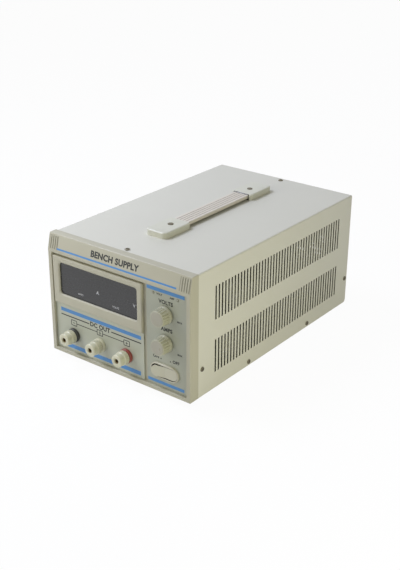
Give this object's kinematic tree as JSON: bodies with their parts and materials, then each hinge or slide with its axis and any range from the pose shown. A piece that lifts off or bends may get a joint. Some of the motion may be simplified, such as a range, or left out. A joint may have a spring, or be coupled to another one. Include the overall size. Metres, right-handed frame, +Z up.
{
  "type": "bench power supply",
  "caption": "Free-standing bench power supply: slotted sheet metal case, display window, two knobs, power rocker, binding posts, strap handle and rear fan.",
  "frame": {"origin": "on the table under the middle of the outer box, at the height of the feet", "axes": "+X to the right seen from the front, +Y from the front to the back, +Z up"},
  "size_m": [0.2068, 0.346, 0.1631],
  "materials": {
    "cover_paint": "satin",
    "bezel_plastic": "satin",
    "panel_print": "satin",
    "window_tint": "gloss",
    "knob_plastic": "satin",
    "knob_disc": "satin",
    "post_cream": "gloss",
    "post_black": "gloss",
    "post_red": "gloss",
    "contact_metal": "satin",
    "zinc_sheet": "satin",
    "screw_steel": "satin",
    "foot_rubber": "matte",
    "strap_rubber": "satin",
    "handle_plastic": "satin",
    "black_plastic": "matte",
    "rocker_plastic": "satin",
    "lamp_resin": "gloss",
    "board_laminate": "satin",
    "ferrite": "matte",
    "winding_tape": "satin",
    "can_sleeve": "gloss",
    "heatsink_aluminium": "satin",
    "fuse_glass": "gloss"
  },
  "bodies": {
    "case": {"front_bezel": "bezel_plastic", "front_frame": "zinc_sheet", "display_surround": "bezel_plastic", "display_window": "window_tint", "output_panel": "panel_print", "control_panel": "panel_print", "status_leds": "lamp_resin", "top_cover": "cover_paint", "base_tray": "zinc_sheet", "rear_panel": "cover_paint", "rubber_feet": "foot_rubber", "handle_front_cap": "handle_plastic", "handle_rear_cap": "handle_plastic", "handle_screws": "screw_steel", "strap_front_tongue": "strap_rubber", "terminal_studs": "contact_metal", "negative_collar": "post_black", "ground_collar": "post_cream", "positive_collar": "post_red", "voltage_pot": "zinc_sheet", "current_pot": "zinc_sheet", "switch_housing": "rocker_plastic", "fan_frame": "black_plastic", "mains_inlet": "black_plastic", "inlet_pins": "contact_metal", "main_board": "board_laminate", "board_standoffs": "contact_metal", "transformer_core": "ferrite", "transformer_winding": "winding_tape", "bulk_capacitors": "can_sleeve", "heatsinks": "heatsink_aluminium", "power_transistors": "black_plastic", "display_board": "board_laminate", "digit_displays": "black_plastic"},
    "voltage_knob": {"voltage_knob": "knob_plastic", "voltage_pot_shaft": "screw_steel"},
    "current_knob": {"current_knob": "knob_plastic", "current_pot_shaft": "screw_steel"},
    "rocker": {"power_rocker": "rocker_plastic"},
    "fan_rotor": {"fan_rotor": "black_plastic"},
    "fuse_drawer": {"fuse_drawer": "black_plastic", "mains_fuse": "fuse_glass"},
    "strap_front": {"strap_front_half": "strap_rubber"},
    "strap_rear": {"strap_rear_half": "strap_rubber"},
    "strap_tongue": {"strap_rear_tongue": "strap_rubber"},
    "negative_washer": {"negative_clamp_washer": "contact_metal"},
    "negative_cap": {"negative_cap": "post_cream"},
    "ground_washer": {"ground_clamp_washer": "contact_metal"},
    "ground_cap": {"ground_cap": "post_cream"},
    "positive_washer": {"positive_clamp_washer": "contact_metal"},
    "positive_cap": {"positive_cap": "post_cream"}
  },
  "joints": [
    {"name": "voltage_turn", "type": "hinge", "parent": "case", "child": "voltage_knob", "pos_m": [0.0675, -0.158, 0.1035], "axis": [0, 1, 0], "range_deg": [-150, 150]},
    {"name": "current_turn", "type": "hinge", "parent": "case", "child": "current_knob", "pos_m": [0.0675, -0.158, 0.0694], "axis": [0, 1, 0], "range_deg": [-150, 150]},
    {"name": "rocker_tilt", "type": "hinge", "parent": "case", "child": "rocker", "pos_m": [0.0665, -0.1506, 0.0338], "axis": [0, 0, -1], "range_deg": [0, 12]},
    {"name": "negative_washer_slide", "type": "slide", "parent": "case", "child": "negative_washer", "axis": [0, -1, 0], "range_m": [0, 0.005]},
    {"name": "negative_cap_turn", "type": "hinge", "parent": "negative_washer", "child": "negative_cap", "pos_m": [-0.07, -0.158, 0.0355], "axis": [0, -1, 0], "range_deg": [0, 1800]},
    {"name": "ground_washer_slide", "type": "slide", "parent": "case", "child": "ground_washer", "axis": [0, -1, 0], "range_m": [0, 0.005]},
    {"name": "ground_cap_turn", "type": "hinge", "parent": "ground_washer", "child": "ground_cap", "pos_m": [-0.0295, -0.158, 0.0355], "axis": [0, -1, 0], "range_deg": [0, 1800]},
    {"name": "positive_washer_slide", "type": "slide", "parent": "case", "child": "positive_washer", "axis": [0, -1, 0], "range_m": [0, 0.005]},
    {"name": "positive_cap_turn", "type": "hinge", "parent": "positive_washer", "child": "positive_cap", "pos_m": [0.011, -0.158, 0.0355], "axis": [0, -1, 0], "range_deg": [0, 1800]},
    {"name": "fan_spin", "type": "hinge", "parent": "case", "child": "fan_rotor", "pos_m": [0.044, 0.152, 0.096], "axis": [0, 1, 0], "continuous": true},
    {"name": "drawer_slide", "type": "slide", "parent": "case", "child": "fuse_drawer", "axis": [0, 1, 0], "range_m": [0, 0.02]},
    {"name": "strap_lift", "type": "hinge", "parent": "case", "child": "strap_front", "pos_m": [0, -0.0434, 0.1615], "axis": [1, 0, 0], "range_deg": [0, 16]},
    {"name": "strap_middle_bend", "type": "hinge", "parent": "strap_front", "child": "strap_rear", "pos_m": [0, 0.01475, 0.1579], "axis": [-1, 0, 0], "range_deg": [0, 32.2]},
    {"name": "strap_rear_bend", "type": "hinge", "parent": "strap_rear", "child": "strap_tongue", "pos_m": [0, 0.0729, 0.1615], "axis": [1, 0, 0], "range_deg": [0, 16.1]}
  ],
  "couplings": [
    {"joint": "negative_cap_turn", "follows": "negative_washer_slide", "rad_per_m": 6276.9},
    {"joint": "ground_cap_turn", "follows": "ground_washer_slide", "rad_per_m": 6276.9},
    {"joint": "positive_cap_turn", "follows": "positive_washer_slide", "rad_per_m": 6276.9},
    {"joint": "strap_middle_bend", "follows": "strap_lift", "ratio": 2},
    {"joint": "strap_rear_bend", "follows": "strap_lift", "ratio": 1}
  ]
}
